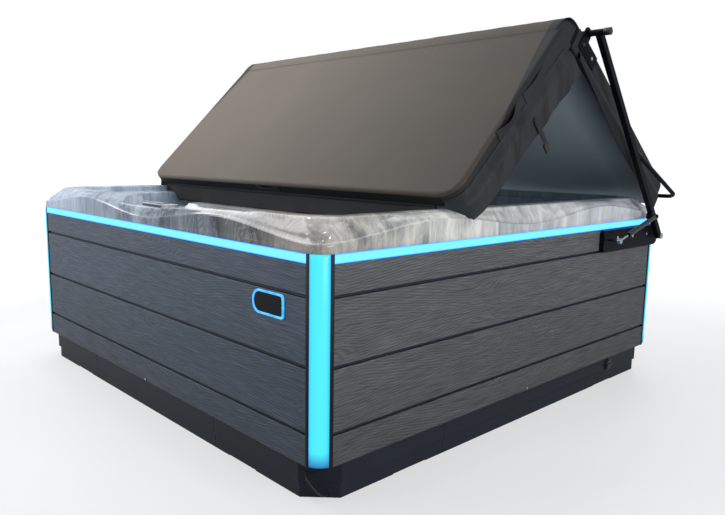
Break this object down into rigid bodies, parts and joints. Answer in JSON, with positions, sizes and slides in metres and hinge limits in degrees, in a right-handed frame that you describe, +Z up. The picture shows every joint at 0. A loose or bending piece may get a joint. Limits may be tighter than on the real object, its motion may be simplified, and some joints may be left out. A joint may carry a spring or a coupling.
{
  "type": "portable hot tub",
  "caption": "Square free-standing hot tub with lit trims, grooved board cabinet and a folding cover on a side lifter that raises and folds it behind the tub.",
  "frame": {"origin": "middle of the base pan's underside, on the floor", "axes": "+Z up; front (control panel and badge) towards -Y; drain side +X"},
  "size_m": [2.384, 2.3269, 1.5991],
  "materials": {
    "pan_black": "satin",
    "timber": "sawn",
    "board_grey": "embossed wood grain",
    "trim_black": "satin",
    "light_cyan": "lit, translucent",
    "acrylic_marble": "gloss, marbled",
    "badge_black": "gloss",
    "panel_pale": "satin",
    "screen_dark": "gloss",
    "button_rubber": "matte",
    "bright_steel": "polished",
    "pipe_white": "satin",
    "pump_black": "satin",
    "filter_white": "pleated",
    "lifter_black": "powder coat",
    "spring_black": "gloss paint",
    "cover_foam": "closed-cell foam",
    "cover_vinyl": "grained vinyl",
    "skirt_vinyl": "grained vinyl",
    "lining_grey": "smooth film",
    "webbing_black": "woven",
    "lead_black": "matte"
  },
  "bodies": {
    "tub": {"base_pan": "pan_black", "frame_posts": "timber", "frame_rails": "timber", "front_boards": "board_grey", "right_boards": "board_grey", "rear_boards": "board_grey", "left_boards": "board_grey", "panel_screws": "bright_steel", "corner_channels": "trim_black", "corner_diffusers": "light_cyan", "rim_channels": "trim_black", "rim_diffusers": "light_cyan", "vessel_shell": "acrylic_marble", "badge_plate": "badge_black", "badge_light_ring": "light_cyan", "control_panel": "panel_pale", "panel_screen": "screen_dark", "jets": "bright_steel", "water_lines": "pipe_white", "suction_covers": "trim_black", "filter_cartridge": "filter_white", "jet_pumps": "pump_black", "heater": "bright_steel", "control_box": "pump_black", "drain_valve": "trim_black", "light_lead": "lead_black", "lead_grommet": "lead_black", "bracket_plates": "lifter_black", "bracket_bolts": "bright_steel", "pivot_axles": "bright_steel", "spring_studs": "bright_steel"},
    "lifter": {"lifter_arms": "lifter_black", "cross_bar": "lifter_black", "bar_caps": "trim_black", "clamp_plates": "lifter_black", "clamp_screws": "bright_steel", "cradle_bar": "lifter_black", "rear_cover_core": "cover_foam", "rear_cover_jacket": "cover_vinyl", "rear_cover_lining": "lining_grey", "rear_cover_skirts": "skirt_vinyl", "fold_band": "cover_vinyl"},
    "front_cover": {"front_cover_core": "cover_foam", "front_cover_jacket": "cover_vinyl", "front_cover_lining": "lining_grey", "front_cover_skirts": "skirt_vinyl", "cover_handles": "webbing_black", "lock_straps": "webbing_black", "strap_buckles": "trim_black"},
    "spring_cylinders": {"gas_cylinders": "spring_black"},
    "spring_rods": {"gas_rods": "bright_steel"},
    "button_jets": {"button_jets": "button_rubber"},
    "button_light": {"button_light": "button_rubber"},
    "button_warm": {"button_warm": "button_rubber"},
    "button_cool": {"button_cool": "button_rubber"},
    "diverter_knob_front": {"diverter_knob_front": "bright_steel"},
    "diverter_knob_middle": {"diverter_knob_middle": "bright_steel"},
    "diverter_knob_rear": {"diverter_knob_rear": "bright_steel"},
    "filter_lid": {"filter_lid": "panel_pale"},
    "drain_cap": {"drain_cap": "trim_black"}
  },
  "joints": [
    {"name": "lifter_swing", "type": "hinge", "parent": "tub", "child": "lifter", "pos_m": [0, 1.04, 0.685], "axis": [1, 0, 0], "range_deg": [-43, 34.8]},
    {"name": "front_cover_fold", "type": "hinge", "parent": "lifter", "child": "front_cover", "pos_m": [0, 0.21044, 1.49172], "axis": [1, 0, 0], "range_deg": [-77.62, 95.91], "deforming": ["fold_band", "front_cover_skirts"]},
    {"name": "spring_cylinder_swing", "type": "hinge", "parent": "lifter", "child": "spring_cylinders", "pos_m": [0, 0.92961, 0.78656], "axis": [1, 0, 0], "range_deg": [-40.34, 49.84]},
    {"name": "spring_rod_slide", "type": "slide", "parent": "spring_cylinders", "child": "spring_rods", "axis": [0, -0.9667, -0.2559], "range_m": [-0.0685, 0.08452]},
    {"name": "button_jets_press", "type": "slide", "parent": "tub", "child": "button_jets", "axis": [0, 0, -1], "range_m": [0, 0.0012], "stiffness_N_per_m": 1200},
    {"name": "button_light_press", "type": "slide", "parent": "tub", "child": "button_light", "axis": [0, 0, -1], "range_m": [0, 0.0012], "stiffness_N_per_m": 1200},
    {"name": "button_warm_press", "type": "slide", "parent": "tub", "child": "button_warm", "axis": [0, 0, -1], "range_m": [0, 0.0012], "stiffness_N_per_m": 1200},
    {"name": "button_cool_press", "type": "slide", "parent": "tub", "child": "button_cool", "axis": [0, 0, -1], "range_m": [0, 0.0012], "stiffness_N_per_m": 1200},
    {"name": "diverter_front_turn", "type": "hinge", "parent": "tub", "child": "diverter_knob_front", "pos_m": [0.9425, -0.38, 0.838], "axis": [0, 0, 1], "range_deg": [-60, 60]},
    {"name": "diverter_middle_turn", "type": "hinge", "parent": "tub", "child": "diverter_knob_middle", "pos_m": [0.9425, -0.23, 0.838], "axis": [0, 0, 1], "range_deg": [-60, 60]},
    {"name": "diverter_rear_turn", "type": "hinge", "parent": "tub", "child": "diverter_knob_rear", "pos_m": [0.9425, -0.08, 0.838], "axis": [0, 0, 1], "range_deg": [-60, 60]},
    {"name": "filter_lid_turn", "type": "hinge", "parent": "tub", "child": "filter_lid", "pos_m": [-0.905, -0.905, 0.838], "axis": [0, 0, 1], "range_deg": [0, 60]},
    {"name": "drain_cap_turn", "type": "hinge", "parent": "tub", "child": "drain_cap", "pos_m": [1.09, 0.71, 0.084], "axis": [1, 0, 0], "range_deg": [0, 90]}
  ],
  "couplings": [
    {"joint": "front_cover_fold", "follows": "lifter_swing", "ratio": -2.2299},
    {"joint": "spring_cylinder_swing", "follows": "lifter_swing", "ratio": -1.1586},
    {"joint": "spring_rod_slide", "follows": "lifter_swing", "m_per_rad": -0.11195}
  ]
}
